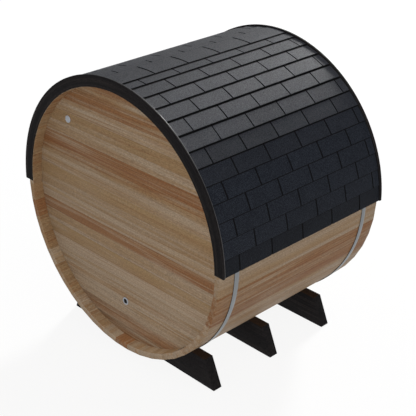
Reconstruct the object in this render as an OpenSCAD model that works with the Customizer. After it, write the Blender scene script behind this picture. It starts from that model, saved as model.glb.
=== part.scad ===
// Barrel sauna: a staved barrel on three saddle-cut cradles, with board end walls set in
// grooves, two steel bands, and a shingled half-round roof between black arch boards.
// Millimetres, +Z up. The origin is on the ground under the middle of the barrel.
// The barrel's axis runs along Y: the plain end is at -Y and the door is at +Y.

/* [Barrel] */
// Radius to the outer corners of the staves
barrel_r = 1000; // [900:5:1150]
// Length of the staves
barrel_l = 1575; // [1300:5:2400]
// Thickness of a stave
stave_t = 45; // [38:1:55]
// Number of staves around the barrel
stave_count = 47; // [40:1:56]
// Radius of the bead along one edge of a stave
bead_r = 12; // [9:0.5:15]
// How far the bead stands out of the edge
bead_out = 7; // [4:0.5:8]

/* [End walls] */
// Distance from the stave ends to the face of an end wall
wall_inset = 82; // [40:1:110]
// Thickness of the end wall boards
wall_t = 45; // [40:1:55]
// Depth of the groove in the staves that holds a wall
croze_depth = 12; // [8:1:18]
// Width that one board covers
board_pitch = 93.7; // [70:0.1:140]
// Height of one board joint over the barrel's axis
board_joint_z = -34.3; // [-60:0.1:60]
// Width of a board's tongue
tongue_w = 12; // [8:1:16]
// Length of a board's tongue
tongue_l = 9; // [5:1:12]

/* [Wall fittings] */
// Sideways place of the vent cap
vent_x = -584; // [-640:1:-400]
// Height of the vent cap over the barrel's axis
vent_z = 573; // [400:1:600]
// Radius of the vent cap
vent_r = 26; // [23:1:45]
// Radius of the vent's neck in the wall
vent_neck_r = 18; // [14:1:20]
// Sideways place of the cable gland
gland_x = -33; // [-300:1:300]
// Height of the cable gland over the barrel's axis
gland_z = -666; // [-750:1:-500]
// Radius of the gland's ring
gland_r = 29; // [25:1:40]
// Radius of the gland's neck in the wall
gland_neck_r = 20; // [18.5:0.5:23]
// Radius of the gland's bore
gland_bore_r = 16; // [10:0.5:17]
// How far the gland stands out of the wall
gland_out = 5; // [4:0.5:12]

/* [Door] */
// Width of the doorway between the wall boards
doorway_w = 700; // [600:5:900]
// Room between the doorway's upper corners and the staves
doorway_high_rim = 60; // [30:1:150]
// Room between the doorway's lower corners and the staves
doorway_low_rim = 90; // [30:1:200]
// Width of the frame around the door
frame_w = 45; // [30:1:60]
// Thickness of the door leaf
leaf_t = 30; // [24:1:34]
// Number of upright planks in the door leaf
leaf_planks = 6; // [4:1:8]
// Width of the V-joint between two planks
plank_groove = 6; // [3:0.5:10]
// Gap around the door leaf
leaf_gap = 3; // [2:0.5:6]
// Width of the stop that the leaf closes on
stop_w = 12; // [8:1:20]
// Width of a ledge across the back of the leaf
ledge_w = 110; // [60:5:150]
// Thickness of a ledge
ledge_t = 20; // [12:1:30]
// Length of a hinge strap on the leaf
strap_l = 260; // [150:5:400]
// Width of a hinge strap
strap_w = 40; // [25:1:60]
// Width of a hinge strap at its round tip
strap_tip_w = 24; // [12:1:25]
// Thickness of a hinge strap
strap_t = 4; // [3:0.5:6]
// Distance of a hinge from the end of the leaf
hinge_inset = 220; // [120:5:400]
// Length of the pull handle
handle_l = 320; // [200:5:500]
// Width of the pull handle
handle_w = 32; // [24:1:38]
// Radius of the handle's outer bends
handle_bend = 28; // [10:1:30]
// How far the handle stands out of the leaf
handle_out = 74; // [60:1:80]

/* [Bands] */
// Distance from a stave end to the middle of a band
band_inset = 149; // [110:1:190]
// Width of a band
band_w = 40; // [25:1:50]
// Thickness of a band
band_t = 4; // [2:0.5:6]
// Angle of the band's clamp around the barrel
clamp_deg = -118; // [-140:1:-105]
// Gap between the clamp's lugs
clamp_gap = 26; // [15:1:40]
// Height of a clamp lug
lug_h = 34; // [26:1:45]
// Thickness of a clamp lug
lug_t = 8; // [5:0.5:12]
// Radius of the clamp bolt
bolt_r = 6; // [4:0.5:8]

/* [Roof] */
// Angle that the roof covers
roof_span = 180; // [150:2:200]
// Thickness of the deck under the shingles
deck_t = 12; // [8:0.5:20]
// Number of shingle courses on each side
course_count = 13; // [9:1:18]
// Thickness of a course at its lower edge
course_low_t = 9.5; // [7:0.5:14]
// Thickness of a course at its upper edge
course_high_t = 3.5; // [2:0.5:5]
// Width of the ridge cap
ridge_w = 172; // [120:2:240]
// Thickness of the ridge cap
ridge_t = 5.5; // [4:0.5:9]
// How far the ridge cap laps over the top courses
ridge_lap = 33; // [6:1:45]
// Thickness of an arch board
arch_t = 20; // [12:1:30]
// How far the arch boards stand out past the stave ends
arch_out = 5; // [3:0.5:10]
// How far the arch boards stand over the shingles
arch_lip = 9; // [4:0.5:20]

/* [Cradles] */
// Thickness of a cradle
cradle_t = 76; // [50:1:100]
// Height of a cradle
cradle_h = 220; // [180:1:300]
// Height of the ground clearance under the barrel
cradle_lift = 82; // [60:1:120]
// Length of a cradle on the ground
cradle_low_l = 1542; // [1400:2:1800]
// Length of a cradle along its top
cradle_high_l = 1359; // [1250:2:1450]
// Distance from a stave end to the middle of an outer cradle
cradle_inset = 216; // [160:1:300]

/* [Fits] */
// Clearance between pieces that fit together
fit_gap = 0.3; // [0.2:0.05:0.6]

/* [Hidden] */
$fn = 96;
axis_h = barrel_r + cradle_lift;
half_l = barrel_l / 2;
stave_deg = 360 / stave_count;
half_stave_deg = stave_deg / 2;
stave_flat_r = barrel_r * cos(half_stave_deg);
stave_inner_r = stave_flat_r - stave_t;
stave_mid_r = stave_flat_r - stave_t / 2;
STAVE_GROUPS = 7;

croze_r = stave_inner_r + croze_depth;
wall_r = croze_r - fit_gap;
wall_face = half_l - wall_inset;
wall_back = wall_face - wall_t;
board_min = 20;
tongue_slot = tongue_l + fit_gap;

doorway_high_z = sqrt(pow(stave_inner_r - doorway_high_rim, 2) - pow(doorway_w / 2, 2));
doorway_low_z = -sqrt(pow(stave_inner_r - doorway_low_rim, 2) - pow(doorway_w / 2, 2));
leaf_w = doorway_w - 2 * frame_w - 2 * leaf_gap;
leaf_low_z = doorway_low_z + frame_w + leaf_gap;
leaf_high_z = doorway_high_z - frame_w - leaf_gap;
leaf_back = wall_face - leaf_t;
stop_face = leaf_back - fit_gap;

band_r = barrel_r + fit_gap;
deck_r = band_r + band_t + fit_gap;
ridge_half_deg = asin(ridge_w / 2 / barrel_r);
ridge_lap_deg = asin(ridge_lap / barrel_r);
course_deg = (roof_span / 2 - ridge_half_deg + ridge_lap_deg) / course_count;
course_seat_r = (deck_r + deck_t + fit_gap) / cos(course_deg / 2);
shingle_r = course_seat_r + course_low_t;
ridge_rise = (course_low_t - course_high_t) * ridge_lap_deg / course_deg;
ridge_r = course_seat_r + course_high_t + ridge_rise + 2 * fit_gap;
roof_low_deg = 90 - roof_span / 2;
arch_inner_r = barrel_r - stave_t;
arch_r = shingle_r + arch_lip;
arch_face = half_l + arch_out;
roof_end = arch_face - arch_t - fit_gap;
cradle_y = half_l - cradle_inset;

WOOD = [0.52, 0.44, 0.36];
WALL_WOOD = [0.51, 0.43, 0.34];
DOOR_WOOD = [0.47, 0.37, 0.28];
BLACK_WOOD = [0.13, 0.12, 0.12];
SHINGLE = [0.22, 0.23, 0.25];
STEEL = [0.47, 0.48, 0.49];
GREY_PLASTIC = [0.62, 0.63, 0.65];
RUBBER = [0.08, 0.08, 0.08];

// A profile drawn in X and height over the axis, run along the barrel from y0 to y1
module along(y0, y1) {
    translate([0, y1, axis_h]) rotate([90, 0, 0]) linear_extrude(y1 - y0) children();
}

// A turned piece that points out of the plain end's wall at the given place
module on_rear_wall(x, z) {
    translate([x, -wall_face, axis_h + z]) rotate([90, 0, 0]) children();
}

// A block between two corners, with heights over the axis
module block(low, high) {
    translate([low[0], low[1], axis_h + low[2]]) cube(high - low);
}

// A ring's part between two radii and two angles, in steps that keep the wedge convex
module ring_part(r0, r1, from_deg, to_deg) {
    reach = 2 * r1;
    steps = 4;
    step = (to_deg - from_deg) / steps;
    intersection() {
        difference() {
            circle(r1);
            circle(r0);
        }
        polygon(concat(
            [[0, 0]],
            [for (i = [0 : steps]) reach * [cos(from_deg + i * step), sin(from_deg + i * step)]]
        ));
    }
}

// Barrel staves

function edge_point(s) = s * [sin(half_stave_deg), cos(half_stave_deg)];
function edge_normal() = [cos(half_stave_deg), -sin(half_stave_deg)];
function stave_half_w(v) = v * tan(half_stave_deg) - fit_gap / 2 / cos(half_stave_deg);

// One stave's section, with the bead on one edge and the cove for its neighbour's bead
module stave_section() {
    bead_centre = edge_point(stave_mid_r / cos(half_stave_deg))
        - edge_normal() * (fit_gap / 2 + bead_r - bead_out);
    difference() {
        union() {
            polygon([
                [-stave_half_w(stave_inner_r), stave_inner_r],
                [stave_half_w(stave_inner_r), stave_inner_r],
                [stave_half_w(stave_flat_r), stave_flat_r],
                [-stave_half_w(stave_flat_r), stave_flat_r]
            ]);
            translate(bead_centre) circle(bead_r);
        }
        rotate(stave_deg) translate(bead_centre) circle(bead_r + fit_gap);
    }
}

function stave_group(i) =
    floor(((i + round(stave_count / (2 * STAVE_GROUPS))) % stave_count) * STAVE_GROUPS / stave_count);

// The staves of one group, counted from the bottom towards +X, with a groove at each end
module staves(group) {
    color(WOOD) difference() {
        for (i = [0 : stave_count - 1])
            if (stave_group(i) == group)
                along(-half_l, half_l) rotate(180 + i * stave_deg) stave_section();
        along(wall_back - fit_gap, wall_face + fit_gap) circle(croze_r);
        along(-wall_face - fit_gap, -wall_back + fit_gap) circle(croze_r);
    }
}

module staves_bottom() staves(0);
module staves_lower_right() staves(1);
module staves_right() staves(2);
module staves_upper_right() staves(3);
module staves_upper_left() staves(4);
module staves_left() staves(5);
module staves_lower_left() staves(6);

// End walls

function joint_z(k) = board_joint_z + k * board_pitch;
function first_joint() = ceil((board_min - wall_r - board_joint_z) / board_pitch);
function last_joint() = floor((wall_r - board_min - board_joint_z) / board_pitch);

// One board's section in Y and height, with its tongue upwards
module board_section(z0, z1, has_slot, has_tongue) {
    mid = wall_t / 2;
    difference() {
        union() {
            translate([0, z0]) square([wall_t, z1 - z0 - fit_gap]);
            if (has_tongue)
                translate([mid - tongue_w / 2, z1 - 1]) square([tongue_w, tongue_l + 1]);
        }
        if (has_slot)
            translate([mid - tongue_w / 2 - fit_gap, z0 - 1])
                square([tongue_w + 2 * fit_gap, tongue_slot + 1]);
    }
}

// All boards of a wall, cut round to the bottom of the groove, from y0 to y0 + wall_t
module wall_boards(y0) {
    low = first_joint();
    high = last_joint();
    intersection() {
        for (k = [low - 1 : high])
            translate([-wall_r, y0, axis_h]) rotate([90, 0, 90]) linear_extrude(2 * wall_r)
                board_section(k < low ? -wall_r : joint_z(k), k < high ? joint_z(k + 1) : wall_r + fit_gap,
                    k >= low, k < high);
        along(y0 - 1, y0 + wall_t + 1) circle(wall_r);
    }
}

module rear_wall() {
    color(WALL_WOOD) difference() {
        wall_boards(-wall_face);
        on_rear_wall(vent_x, vent_z)
            translate([0, 0, -wall_t - 1]) cylinder(r = vent_neck_r + fit_gap, h = wall_t + 2);
        on_rear_wall(gland_x, gland_z)
            translate([0, 0, -wall_t - 1]) cylinder(r = gland_neck_r + fit_gap, h = wall_t + 2);
    }
}

module vent_cap() {
    rim_h = 4;
    face_h = 7;
    bevel = 3;
    neck_t = 3;
    color(GREY_PLASTIC) on_rear_wall(vent_x, vent_z) rotate_extrude() polygon([
        [0, fit_gap], [vent_neck_r - neck_t, fit_gap], [vent_neck_r - neck_t, -wall_t],
        [vent_neck_r, -wall_t], [vent_neck_r, fit_gap], [vent_r, fit_gap],
        [vent_r, rim_h], [vent_r - bevel, face_h], [0, face_h]
    ]);
}

module cable_gland() {
    bevel = 1.5;
    color(GREY_PLASTIC) on_rear_wall(gland_x, gland_z) rotate_extrude() polygon([
        [gland_bore_r, -wall_t], [gland_neck_r, -wall_t], [gland_neck_r, fit_gap],
        [gland_r, fit_gap], [gland_r, gland_out - bevel], [gland_r - bevel, gland_out],
        [gland_bore_r + bevel, gland_out], [gland_bore_r, gland_out - bevel]
    ]);
}

module gland_plug() {
    plug_depth = 24;
    color(RUBBER) on_rear_wall(gland_x, gland_z)
        translate([0, 0, -plug_depth]) cylinder(r = gland_bore_r - fit_gap, h = plug_depth);
}

module front_wall() {
    color(WALL_WOOD) difference() {
        wall_boards(wall_back);
        block([-doorway_w / 2, wall_back - 1, doorway_low_z],
            [doorway_w / 2, wall_face + 1, doorway_high_z]);
    }
}

// Door

// A frame member with its stop: the block between two corners less the seat for the leaf
module frame_member(low, high) {
    seat_w = doorway_w / 2 - frame_w;
    color(DOOR_WOOD) difference() {
        block(low, high);
        block([-seat_w, stop_face, doorway_low_z + frame_w],
            [seat_w, wall_face + 1, doorway_high_z - frame_w]);
    }
}

module door_jamb(side) {
    outer = doorway_w / 2 - fit_gap;
    inner = doorway_w / 2 - frame_w - stop_w;
    low_z = doorway_low_z + frame_w + stop_w + fit_gap;
    high_z = doorway_high_z - frame_w - stop_w - fit_gap;
    mirror([side < 0 ? 1 : 0, 0, 0])
        frame_member([inner, wall_back, low_z], [outer, wall_face, high_z]);
}

module door_jamb_left() door_jamb(-1);
module door_jamb_right() door_jamb(1);

module door_head() {
    outer = doorway_w / 2 - fit_gap;
    frame_member([-outer, wall_back, doorway_high_z - frame_w - stop_w],
        [outer, wall_face, doorway_high_z - fit_gap]);
}

module door_sill() {
    outer = doorway_w / 2 - fit_gap;
    frame_member([-outer, wall_back, doorway_low_z + fit_gap],
        [outer, wall_face, doorway_low_z + frame_w + stop_w]);
}

// The leaf, with a V-joint on its outer face between each two planks
module door_leaf() {
    plank_w = leaf_w / leaf_planks;
    color(DOOR_WOOD) difference() {
        block([-leaf_w / 2, leaf_back, leaf_low_z], [leaf_w / 2, wall_face, leaf_high_z]);
        for (i = [1 : leaf_planks - 1])
            translate([i * plank_w - leaf_w / 2, wall_face, axis_h + leaf_low_z - 1])
                linear_extrude(leaf_high_z - leaf_low_z + 2)
                    rotate(45) square(plank_groove / sqrt(2), center = true);
    }
}

module door_ledges() {
    half_w = leaf_w / 2 - stop_w - 2 * leaf_gap;
    color(DOOR_WOOD) for (z = [leaf_low_z + hinge_inset, leaf_high_z - hinge_inset])
        block([-half_w, leaf_back - fit_gap - ledge_t, z - ledge_w / 2],
            [half_w, leaf_back - fit_gap, z + ledge_w / 2]);
}

// A strap hinge: a long tapered strap on the leaf, a short one on the jamb and a knuckle over the gap
module door_hinges() {
    knuckle_r = 9;
    gap_x = leaf_w / 2 + leaf_gap / 2;
    jamb_l = frame_w - leaf_gap;
    y0 = wall_face + fit_gap;
    tip_r = strap_tip_w / 2;
    color(BLACK_WOOD) for (z = [leaf_low_z + hinge_inset, leaf_high_z - hinge_inset])
        union() {
            along(y0, y0 + strap_t) translate([gap_x, z]) hull() {
                translate([-strap_tip_w, -strap_w / 2]) square([strap_tip_w, strap_w]);
                translate([tip_r - strap_l, 0]) circle(tip_r);
            }
            block([gap_x, y0, z - strap_w], [gap_x + jamb_l, y0 + strap_t, z + strap_w]);
            translate([gap_x, y0 + knuckle_r, axis_h + z - strap_w / 2])
                cylinder(r = knuckle_r, h = strap_w);
        }
}

// The handle's side view, from the leaf outwards and up, with its outer bends
module handle_side() {
    hull() {
        square([1, handle_l]);
        for (z = [handle_bend, handle_l - handle_bend])
            translate([handle_out - handle_bend, z]) circle(handle_bend);
    }
}

module door_handle() {
    x = -leaf_w / 2 + 2 * handle_w;
    y0 = wall_face + fit_gap;
    z0 = (leaf_low_z + leaf_high_z - handle_l) / 2;
    grip_room = handle_out - handle_w;
    post_h = 1.5 * handle_w;
    color(DOOR_WOOD) difference() {
        translate([x - handle_w / 2, y0, axis_h + z0])
            rotate([90, 0, 90]) linear_extrude(handle_w) handle_side();
        block([x - handle_w, y0 - 1, z0 + post_h],
            [x + handle_w, y0 + grip_room, z0 + handle_l - post_h]);
    }
}

// Bands

// A clamp's place on the barrel, with X outwards and Y around the barrel
module at_clamp(y) {
    translate([0, y, axis_h]) rotate([90, 0, 0]) rotate(clamp_deg) translate([band_r, 0, 0]) children();
}

function lug_bolt_r() = band_t + (lug_h - band_t) / 2;

// A bolt along the clamp, longer than its lugs by the given length at each end
module clamp_rod(r, extra) {
    len = clamp_gap + 2 * lug_t + 2 * extra;
    translate([lug_bolt_r(), 0, 0]) rotate([90, 0, 0]) cylinder(r = r, h = len, center = true);
}

module band(y) {
    clamp_half_w = clamp_gap / 2 + lug_t;
    color(STEEL) difference() {
        along(y - band_w / 2, y + band_w / 2) {
            difference() {
                union() {
                    circle(band_r + band_t);
                    rotate(clamp_deg) translate([0, -clamp_half_w]) square([band_r + lug_h, 2 * clamp_half_w]);
                }
                circle(band_r);
                rotate(clamp_deg) translate([0, -clamp_gap / 2]) square([2 * band_r, clamp_gap]);
            }
        }
        at_clamp(y) clamp_rod(bolt_r + fit_gap, 1);
    }
}

module band_rear() band(-half_l + band_inset);
module band_front() band(half_l - band_inset);

module band_bolts() {
    head_r = 1.8 * bolt_r;
    head_h = 1.2 * bolt_r;
    head_y = clamp_gap / 2 + lug_t + fit_gap;
    color(STEEL) for (y = [-half_l + band_inset, half_l - band_inset]) at_clamp(y) union() {
        clamp_rod(bolt_r, head_h / 2);
        for (side = [0, 1]) mirror([0, side, 0]) translate([lug_bolt_r(), head_y, 0])
            rotate([-90, 0, 0]) cylinder(r = head_r, h = head_h, $fn = 6);
    }
}

// Roof

module roof_deck(side) {
    color(BLACK_WOOD) mirror([side < 0 ? 1 : 0, 0, 0]) along(-roof_end, roof_end) difference() {
        ring_part(deck_r, deck_r + deck_t, roof_low_deg, 90);
        translate([-fit_gap / 2, 0]) square([fit_gap, 2 * deck_r]);
    }
}

module roof_deck_left() roof_deck(-1);
module roof_deck_right() roof_deck(1);

function at_angle(r, deg) = r * [cos(deg), sin(deg)];

// One course's wedge, thick at its lower edge, from one course line to the next
module course_section(low_deg) {
    high_deg = low_deg + course_deg - asin(fit_gap / barrel_r);
    polygon([
        at_angle(course_seat_r, low_deg), at_angle(course_seat_r + course_low_t, low_deg),
        at_angle(course_seat_r + course_high_t, high_deg), at_angle(course_seat_r, high_deg)
    ]);
}

module shingles(side) {
    color(SHINGLE) mirror([side < 0 ? 1 : 0, 0, 0])
        for (k = [0 : course_count - 1])
            along(-roof_end, roof_end) course_section(roof_low_deg + k * course_deg);
}

module shingles_left() shingles(-1);
module shingles_right() shingles(1);

module ridge_cap() {
    color(SHINGLE) along(-roof_end, roof_end)
        ring_part(ridge_r, ridge_r + ridge_t, 90 - ridge_half_deg, 90 + ridge_half_deg);
}

// An arch board: a thin face over the stave ends and a rebated back over the barrel's edge
module roof_arch_front() {
    color(BLACK_WOOD) union() {
        along(half_l + fit_gap, arch_face)
            ring_part(arch_inner_r, arch_r, roof_low_deg, roof_low_deg + roof_span);
        along(arch_face - arch_t, half_l + fit_gap)
            ring_part(band_r, arch_r, roof_low_deg, roof_low_deg + roof_span);
    }
}

module roof_arch_rear() mirror([0, 1, 0]) roof_arch_front();

// Cradles

module cradle(y) {
    low = cradle_low_l / 2;
    high = cradle_high_l / 2;
    color(BLACK_WOOD) along(y - cradle_t / 2, y + cradle_t / 2) difference() {
        polygon([
            [-low, -axis_h], [low, -axis_h], [high, cradle_h - axis_h], [-high, cradle_h - axis_h]
        ]);
        circle(band_r);
    }
}

module cradle_rear() cradle(-cradle_y);
module cradle_middle() cradle(0);
module cradle_front() cradle(cradle_y);

staves_bottom();
staves_lower_right();
staves_right();
staves_upper_right();
staves_upper_left();
staves_left();
staves_lower_left();
rear_wall();
vent_cap();
cable_gland();
gland_plug();
front_wall();
door_jamb_left();
door_jamb_right();
door_head();
door_sill();
door_leaf();
door_ledges();
door_hinges();
door_handle();
band_rear();
band_front();
band_bolts();
roof_deck_left();
roof_deck_right();
shingles_left();
shingles_right();
ridge_cap();
roof_arch_rear();
roof_arch_front();
cradle_rear();
cradle_middle();
cradle_front();
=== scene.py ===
"""Looks of the barrel sauna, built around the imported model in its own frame, in metres."""
import math
import random

import bmesh
import bpy
import numpy as np
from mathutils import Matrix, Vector


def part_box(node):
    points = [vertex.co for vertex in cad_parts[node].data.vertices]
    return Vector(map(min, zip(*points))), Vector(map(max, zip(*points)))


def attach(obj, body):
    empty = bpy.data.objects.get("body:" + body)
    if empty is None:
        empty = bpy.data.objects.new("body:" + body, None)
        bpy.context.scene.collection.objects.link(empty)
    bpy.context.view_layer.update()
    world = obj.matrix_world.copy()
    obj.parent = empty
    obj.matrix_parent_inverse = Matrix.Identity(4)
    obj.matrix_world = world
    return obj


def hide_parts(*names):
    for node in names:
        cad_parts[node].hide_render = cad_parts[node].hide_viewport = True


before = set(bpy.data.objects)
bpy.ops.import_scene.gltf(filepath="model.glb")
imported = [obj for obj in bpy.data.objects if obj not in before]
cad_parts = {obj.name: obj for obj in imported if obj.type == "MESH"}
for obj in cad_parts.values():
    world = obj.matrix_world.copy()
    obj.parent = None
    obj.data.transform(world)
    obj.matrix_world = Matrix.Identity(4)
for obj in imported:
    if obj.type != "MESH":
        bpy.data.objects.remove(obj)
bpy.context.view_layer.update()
rng = random.Random(47)

# Sizes read from the frame
BODY = "root"
HALF_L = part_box("staves_right")[1].y
band_low, band_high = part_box("band_rear")
AXIS_Z = (band_low.z + band_high.z) / 2
BAND_OUT_R = band_high.x
arch_low, arch_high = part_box("roof_arch_rear")
ARCH_R = min(arch_high.x, arch_high.z - AXIS_Z)
ARCH_FACE = -arch_low.y
ARCH_T = arch_high.y + ARCH_FACE
ROOF_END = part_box("shingles_right")[1].y
wall_low, wall_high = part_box("rear_wall")
WALL_FACE = -wall_low.y
WALL_BACK = -wall_high.y
WALL_R = wall_high.x
ridge_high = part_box("ridge_cap")[1]
RIDGE_OUT_R = ridge_high.z - AXIS_Z
RIDGE_HALF_DEG = math.degrees(math.asin(ridge_high.x / RIDGE_OUT_R))
DOORWAY_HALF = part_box("door_head")[1].x
DOORWAY_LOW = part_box("door_sill")[0].z - AXIS_Z
DOORWAY_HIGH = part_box("door_head")[1].z - AXIS_Z

# Edges
FIT_GAP = 0.0003
MITRE_LIMIT = 0.35
SMOOTH_DEG = 35

# Staves
STAVE_R = 1.0
STAVE_T = 0.045
STAVE_COUNT = 47
STAVE_NODES = (
    "staves_bottom", "staves_lower_right", "staves_right", "staves_upper_right",
    "staves_upper_left", "staves_left", "staves_lower_left",
)
STAVE_GROUPS = len(STAVE_NODES)
BEAD_R = 0.012
BEAD_OUT = 0.007
ARRIS = 0.0012
GROOVE_DEPTH = 0.012
GROOVE_MOUTH = 0.003
STAVE_STEP = 2 * math.pi / STAVE_COUNT
STAVE_FLAT_R = STAVE_R * math.cos(STAVE_STEP / 2)
STAVE_INNER_R = STAVE_FLAT_R - STAVE_T

# End wall boards, counted from the joint just under the axis
BOARD_PITCH = 0.0937
BOARD_JOINT_Z = -0.0343
BOARD_MIN = 0.020

# Roof courses, with slits and dark strips given for the lower and the upper ones; the dark strip under
# each course's butt is painted shade, wider on the lit upper courses
COURSE_COUNT = 13
COURSE_DEG = 6.689
COURSE_SEAT_R = 1.01863
COURSE_LOW_T = 0.0095
COURSE_HIGH_T = 0.0035
TAB_PITCH = 0.298
SLITS = (0.0115, 0.0088)
# Painted shading of the lowest courses: the lowest one darker, painted shade, the next ones lighter,
# painted light
COURSE_PAINTED_SHADING = (-2.5, 1.5, 1.7, 3.2, 3.9, 1.8)
ODD_SLIT = 0.151
EVEN_SLIT = 0.3015
BACKING_T = 0.0008
TAB_EASE = 0.0012
TAB_WARP = 0.0003
TAB_BOW = 7
TAB_BOW_SHIFT = 5
TAB_STEPS = 12
COURSE_LAP = 1.22
SHADE_STRIPS = (0.006, 0.014)
CHANGE_COURSES = (4, 7)
RIDGE_T = 0.005
# Painted light on the upper courses: the granules turn lighter from the first angle to the second, and
# their specular level rises with it
PAINTED_LIGHT_FROM_DEG = 34
PAINTED_LIGHT_TO_DEG = 52
PAINTED_LIGHT_MOST = 0.85
SHEEN = (0.09, 0.50)
SPECK = 1.6
GRANULE_ROUGH = (0.63, 0.74)

# Arch boards
ARCH_EASE = 0.002
ARCH_BACK_EASE = 0.006
ARCH_SEAT_EASE = 0.001
ARCH_FOOT_EASE = 0.0015
ARCH_STEPS = 120

# Bands
BAND_W = 0.040
BAND_T = 0.004
BAND_EASE = 0.0008
BAND_END_EASE = 0.0003
BAND_STEPS = 188
CLAMP_DEG = -118
CLAMP_GAP = 0.026
LUG_T = 0.008
LUG_H = 0.034
LUG_CORNER = 0.006

# Wall fittings, with the vent's ring groove in shares of its radius
VENT_EASE = 0.0025
VENT_RING = (0.62, 0.6, 0.56, 0.54)
VENT_RING_DEPTH = 0.0012
GLAND_EASE = 0.0015
NECK_DEPTH = 0.02
NECK_STEP = 0.001
NECK_TAPER = 0.0001
PLUG_HEAD = 0.003
PLUG_SLACK = 0.0005
PLUG_DIMPLE = (0.006, 0.005)
RIM_FOOT = 0.001
CENTRE_R = 0.0005
TURN_SHARE = 0.3

# Cradles
CRADLE_TOP_HALF = 0.6795
CRADLE_EASE = 0.003
CRADLE_TOP_EASE = 0.004
CRADLE_SEAT_EASE = 0.002
CRADLE_SEAT_POINTS = 42

# Door
LEAF_PLANKS = 6
LEAF_GAP = 0.003
PLANK_EASE = 0.003
FRAME_EASE = 0.0015
STOP_W = 0.012
LEDGE_W = 0.110
LEDGE_EASE = 0.004
STRAP_W = 0.040
STRAP_T = 0.004
STRAP_EASE = 0.0008
STRAP_TIP = 0.6
STRAP_CORNER = 0.001
HINGE_PLATE_CORNER = 0.006
KNUCKLE_R = 0.009
SCREW_R = 0.005
SCREW_DOME = ((1, 0), (1, 0.0006), (0.75, 0.0016), (0.3, 0.0021))
SCREW_FIRST = 0.03
SCREW_PITCH = 0.09
SCREW_SHIFT = 0.004
SCREW_SPREAD = 0.6
HANDLE_POST = 1.5
HANDLE_EASE = 0.28

# Floor and world
FLOOR_HALF = 60
FLOOR_COLOUR = (0.45, 0.45, 0.45, 1)
FLOOR_SEEN_COLOUR = (0.9, 0.9, 0.9, 1)
FLOOR_SEEN_WHITE = 0.85
FRONT_SIDE = (0.42, -0.86, 0.28)
WORLD_BACK = 0.2
WORLD_FRONT = 0.46

# Softboxes: direction from the barrel, distance, size and strength
BACK_LAMP = ((-0.262, 0.896, 0.352), 20.0, 2.9, 1.085)
FRONT_LAMP = ((0.48, -0.57, 0.62), 60.0, 33.0, 0.67)
FILL_LAMP = ((0.68, -0.5, -0.3), 60.0, 33.0, 0.47)
LAMP_TARGET = (0, 0, 1.3)

# Camera of the photograph
CAMERA_PLACE = (4.9136, -4.6962, 4.3868)
CAMERA_AZIMUTH = 45.797
CAMERA_ELEVATION = 27.001
CAMERA_LENS = 90
SENSOR_W = 36

# Wood figure, and the limits of a board's place in its log and of its own tone
FLECK = 1.25
STREAK_LONG = 1.0
LOG_ACROSS = (-0.06, 0.06)
LOG_ALONG = (0, 40)
LOG_DEPTH = (0.05, 0.14)
SAP_HEART = (0.0, 0.15)
SAP_GOLD = (0.0, 0.35)
SAP_SHADE = (-0.5, 0.5)

# Looks of staves: heart is 0 for sapwood to 1 for red heartwood, gold is a yellow cast
HEART_STAVES = {
    -11: 0.3, -10: 0.9, -9: 0.25, -8: 0.35, -6: 0.2, -5: 0.25, -3: 0.15, -2: 0.2, 0: 0.8,
    6: 0.2, 8: 0.25, 9: 0.7, 10: 0.6,
}
GOLD_STAVES = {
    -11: 0.8, -9: 0.8, -8: 0.9, -7: 0.1, -6: 0.7, -5: 0.8, -4: 0.1, -1: 0.1, 8: 0.5, 10: 0.6,
}

# Looks of wall boards: heart at the lower and the upper edge, gold, and pale for a lighter shade; pale
# is partly the board's own tone, partly painted light on the lowest boards and painted shade on the
# upper ones
HEART_BOARDS = {
    -10: (0.5, 0.5), -9: (0.55, 0.5), -4: (0.2, 0.05), -2: (0.85, 0.6), 1: (0.1, 0.1),
    3: (0.1, 0.8), 4: (0.8, 0.6), 6: (0.15, 0.1), 8: (0.45, 0.65), 9: (0.3, 0.8),
}
GOLD_BOARDS = {-5: 0.0, -4: 0.8, 1: 0.9, 3: 0.5, 6: 0.9, 9: 0.5}
PALE_AND_PAINTED_LIGHT_BOARDS = {
    -9: 1.6, -8: 0.9, -7: 1.2, -5: 2.0, -3: -0.4, -1: 0.4, 0: -0.5, 1: -0.6, 3: -0.8, 5: -0.6,
    6: -0.4, 7: -0.2, 8: -0.5,
}

# Heart added towards every stave's inner face as warm painted shade, and a lighter shade on the lower
# staves' inner faces as painted light in the recess
PAINTED_SHADE_HEART = 0.1
PAINTED_LIGHT_INSIDE = 3.0

# Heart, shade and gold added on a stave's inner face at the plain end; the shade is painted light and
# painted shade that even out the light in the recess, the heart and gold are partly the staves' own
# tone
INSIDE_TONE_AND_PAINTED_LIGHT = {
    -19: (0.5, 1.0, 0.9), -18: (0.4, 3.0, 0.9), -17: (0.5, 0.0, 0.9), -16: (0.2, -1.0, 0.6),
    -15: (0.25, -1.0, 0.7), -14: (0.25, -2.0, 0.5), -13: (0.35, -3.0, 0.7), -12: (0.2, -3.0, 0.4),
    -11: (0.0, -2.0, 0.0), -10: (0.1, -2.0, 0.0), -9: (0.0, -4.0, 0.0), -8: (0.0, -4.0, 0.0),
    -7: (0.0, -2.5, 0.2), -6: (0.0, -3.5, 0.3), -5: (0.0, -3.0, 0.0), -4: (0.0, -1.5, 0.3),
    -3: (0.1, -1.5, 0.5), -2: (0.0, 0.0, 0.5), -1: (0.0, 2.0, 0.5),
    0: (0.0, 7.5, 0.4), 1: (0.05, 6.5, 0.6), 2: (0.05, 8.5, 0.6), 3: (0.05, 11.0, 0.6),
    4: (0.05, 12.0, 0.6),
}


# Outlines

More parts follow.
